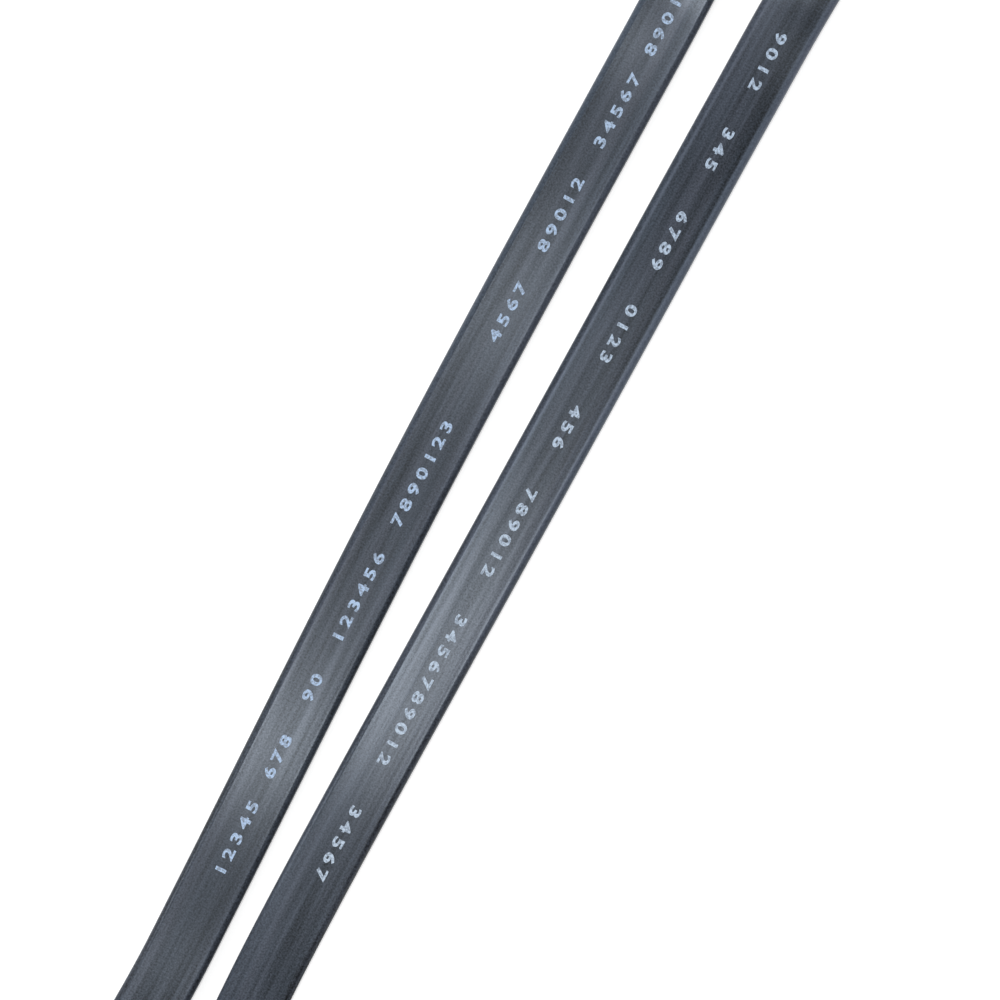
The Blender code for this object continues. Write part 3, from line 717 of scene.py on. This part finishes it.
def cut_with(body, cutters):
    """Cut each cutter out of a body, and give the result as a bmesh."""
    for cutter in cutters:
        cut = body.modifiers.new(cutter.name, "BOOLEAN")
        cut.operation = "DIFFERENCE"
        cut.object = cutter
    bpy.context.view_layer.update()
    evaluated = body.evaluated_get(bpy.context.evaluated_depsgraph_get())
    mesh = bpy.data.meshes.new_from_object(evaluated)
    bm = bmesh.new()
    bm.from_mesh(mesh)
    for helper in (body, *cutters):
        bpy.data.objects.remove(helper, do_unlink=True)
    return bm


# %% A hood
def soften(bm, width, angle=30.0, steps=2):
    """A small bevel on every edge that turns more than an angle."""
    sharp = [e for e in bm.edges if e.is_manifold and e.calc_face_angle() > math.radians(angle)]
    bmesh.ops.bevel(bm, geom=sharp, offset=width, segments=steps, profile=0.5, affect="EDGES",
                    clamp_overlap=True, material=-1)


def hood_outside():
    """The outer skin of a hood, with its strain relief drawn out of its rear face."""
    bm = bmesh.new()
    face = rounded_block(bm, HOOD_W, HOOD_H, NOSE_L, HOOD_BODY_L, HOOD_CORNER)
    face = draw_out(bm, face, SHOULDER_L, (HOOD_W * 2 + WAIST_W) / 3, (HOOD_H * 2 + WAIST_H) / 3)
    face = draw_out(bm, face, WAIST_L, WAIST_W, WAIST_H)
    relief_start = NOSE_L + HOOD_BODY_L + SHOULDER_L + WAIST_L
    land = (PLUG_L - relief_start - RING_COUNT * RING_RUN) / (RING_COUNT + 1)

    def size_at(y):
        share = (y - relief_start) / (PLUG_L - relief_start)
        return (WAIST_W + (RELIEF_W - WAIST_W) * share, WAIST_H + (RELIEF_H - WAIST_H) * share)

    y = relief_start
    for ring in range(RING_COUNT + 1):
        y += land
        wide, high = size_at(y)
        face = draw_out(bm, face, land, wide, high)
        if ring < RING_COUNT:
            face = draw_out(bm, face, RING_STEP, wide - 2 * RING_DEPTH, high - RING_DEPTH)
            y += RING_RUN
            wide, high = size_at(y)
            face = draw_out(bm, face, RING_RUN - 2 * RING_STEP, wide - 2 * RING_DEPTH,
                            high - RING_DEPTH)
            face = draw_out(bm, face, RING_STEP, wide, high)
    soften(bm, 0.14)
    return hidden_object("hood_body", bm)


def hood_cutters():
    """The room inside a hood, and the grip grooves across its two faces."""
    rooms = ((HOUSING_W, HOUSING_H, 0.4, NOSE_L - 1, HOUSING_L + FIT - NOSE_L + 1),
             (MOULD_W, MOULD_H, 0.4, HOUSING_L, 6.3),
             (CABLE_W, CABLE_T, 1.0, JACKET_START - 0.3, PLUG_L - JACKET_START + 1))
    cutters = []
    for number, (width, height, corner, start, length) in enumerate(rooms):
        bm = bmesh.new()
        rounded_block(bm, width + 2 * FIT, height + 2 * FIT, start, length, corner, steps=4)
        cutters.append(hidden_object(f"room_{number}", bm))
    bm = bmesh.new()
    for k in range(GRIP_COUNT):
        y = NOSE_L + GRIP_START + k * GRIP_PITCH
        for side in (-1, 1):
            verts = bmesh.ops.create_cube(bm, size=1.0)["verts"]
            bmesh.ops.scale(bm, vec=(GRIP_W, GRIP_L, 2 * GRIP_DEPTH), verts=verts)
            bmesh.ops.translate(bm, vec=(0, y, side * HOOD_H / 2), verts=verts)
    bmesh.ops.bevel(bm, geom=bm.edges[:], offset=0.12, segments=2, profile=0.5,
                    affect="EDGES", material=-1)
    cutters.append(hidden_object("grips", bm))
    return cutters


def plug_place(prefix):
    """Where a plug lies: its face centre, and half a turn about its axis for the second one."""
    low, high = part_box(f"{prefix}_housing")
    spot = Matrix.Translation(Vector(((low.x + high.x) / 2, low.y, (low.z + high.z) / 2)))
    turn = Matrix.Rotation(math.pi if prefix == "plug_b" else 0.0, 4, "Y")
    return spot @ turn @ Matrix.Scale(MM, 4)


hoods = {}
for prefix in ("plug_a", "plug_b"):
    bm = cut_with(hood_outside(), hood_cutters())
    bmesh.ops.transform(bm, matrix=plug_place(prefix), verts=bm.verts)
    hoods[prefix] = finish_mesh(f"{prefix}_soft_hood", bm, HOOD_FINISH)
    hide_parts(f"{prefix}_hood")
print("hood faces:", len(hoods["plug_a"].data.polygons))

# %% [markdown]
# ## The housings
#
# The housing's solid already has the keyed slot, its grooves and its slits. Only its edges are
# too sharp: a moulded part always has a small radius. So a copy is merged into one skin, its
# flat areas are made whole again, and every hard edge gets a narrow bevel.


# %% Housings and contacts with softened edges
def softened_copy(node, name, width, material):
    """A copy of a solid with narrow round edges, standing for it."""
    bm = bmesh.new()
    bm.from_mesh(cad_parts[node].data)
    bmesh.ops.remove_doubles(bm, verts=bm.verts, dist=1e-7)
    bmesh.ops.dissolve_limit(bm, angle_limit=math.radians(1), verts=bm.verts, edges=bm.edges)
    soften(bm, width, angle=40.0)
    piece = finish_mesh(name, bm, material)
    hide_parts(node)
    return piece


CONTACTS = 7
HOUSING_EDGE, CONTACT_EDGE = 0.07 * MM, 0.025 * MM
plug_pieces = {prefix: [hood] for prefix, hood in hoods.items()}
for prefix, pieces in plug_pieces.items():
    pieces.append(softened_copy(f"{prefix}_housing", f"{prefix}_soft_housing", HOUSING_EDGE,
                                HOUSING_FINISH))
    for number in range(1, CONTACTS + 1):
        pieces.append(softened_copy(f"{prefix}_contact_{number}", f"{prefix}_spring_{number}",
                                    CONTACT_EDGE, GOLD_FINISH))
print("pieces on each plug:", len(plug_pieces["plug_a"]))

# %% [markdown]
# ## What the jacket hides
#
# Foil, insulation, wires and the inner blocks are only seen if someone takes the cable apart.
# Their solids have the right shape already, so each just gets its finish.

# %% Finishes for the hidden solids
HIDDEN_FINISHES = {"foil_shield": FOIL_FINISH, "core_insulation": CORE_FINISH,
                   "conductor": WIRE_FINISH, "drain_wire": WIRE_FINISH,
                   "plug_a_inner_mould": MOULD_FINISH, "plug_b_inner_mould": MOULD_FINISH}
for name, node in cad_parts.items():
    for start_of_name, finish in HIDDEN_FINISHES.items():
        if name.startswith(start_of_name):
            node.data.materials.clear()
            node.data.materials.append(finish)
            print(name, "->", finish.name)

# %% [markdown]
# ## The cord's line
#
# The cable is a real length of something flexible. Its middle line is listed station by station,
# and the point where it leaves the first plug is worked out.

# %% The cable's middle line
path = [place(0, 0, stop) for stop in stops]
tuple(place(0, 0, PLUG_L))

# %% [markdown]
# ## Floor and light
#
# The photograph has a pure white ground, and soft light from above that shines back from the flat
# faces while the edges stay dark. A small lamp overhead gives that shine, a wider one fills from
# the side, and a pale sky does the rest. The floor is pale, and only for the camera and for
# reflections does it add the little that takes it to white, so the cable still casts its soft
# shadow.

# %% A pale floor
FLOOR_SIZE = 4.0
FLOOR_DROP = 0.05 * MM
FLOOR_GLOW = 0.25
bm = bmesh.new()
bmesh.ops.create_grid(bm, x_segments=1, y_segments=1, size=FLOOR_SIZE / 2)
bmesh.ops.translate(bm, vec=(0, 0, -FLOOR_DROP), verts=bm.verts)
floor_mesh = bpy.data.meshes.new("floor")
bm.to_mesh(floor_mesh)
bm.free()
floor = bpy.data.objects.new("floor", floor_mesh)
bpy.context.collection.objects.link(floor)

paper = bpy.data.materials.new("white paper")
paper.use_nodes = True
tree = paper.node_tree
tree.nodes.clear()
ray = tree.nodes.new("ShaderNodeLightPath")
seen = worked(tree, "MAXIMUM", ray.outputs["Is Camera Ray"], ray.outputs["Is Glossy Ray"])
seen = worked(tree, "MAXIMUM", seen, ray.outputs["Is Transmission Ray"])
diffuse = add_node(tree, "ShaderNodeBsdfDiffuse", None, Color=(0.86, 0.86, 0.86, 1))
glow = add_node(tree, "ShaderNodeEmission", None, Color=(1, 1, 1, 1),
                Strength=worked(tree, "MULTIPLY", seen, FLOOR_GLOW))
both = add_node(tree, "ShaderNodeAddShader", None, _0=diffuse.outputs[0], _1=glow.outputs[0])
add_node(tree, "ShaderNodeOutputMaterial", None, Surface=both.outputs[0])
floor_mesh.materials.append(paper)


# %% Lamps and sky
def soft_lamp(name, spot, size, power):
    """A square lamp that faces the middle of the cable."""
    lamp = bpy.data.lights.new(name, "AREA")
    lamp.shape = "SQUARE"
    lamp.size = size
    lamp.energy = power
    holder = bpy.data.objects.new(name, lamp)
    bpy.context.collection.objects.link(holder)
    holder.location = spot
    holder.rotation_euler = (-Vector(spot)).to_track_quat("-Z", "Y").to_euler()


soft_lamp("overhead_lamp", (-0.03, -0.09, 0.8), size=0.18, power=3.4)
soft_lamp("side_lamp", (-0.75, -0.42, 0.6), size=0.5, power=5.6)
SKY_LIGHT, SKY_SEEN = 0.55, 1.0
sky = bpy.data.worlds.new("sky")
bpy.context.scene.world = sky
sky.use_nodes = True
tree = sky.node_tree
seen = tree.nodes.new("ShaderNodeLightPath").outputs["Is Camera Ray"]
background = tree.nodes["Background"]
background.inputs["Color"].default_value = (1, 1, 1, 1)
tree.links.new(remap(tree, seen, 0.0, 1.0, SKY_LIGHT, SKY_SEEN), background.inputs["Strength"])
bpy.context.scene.view_settings.view_transform = "Standard"
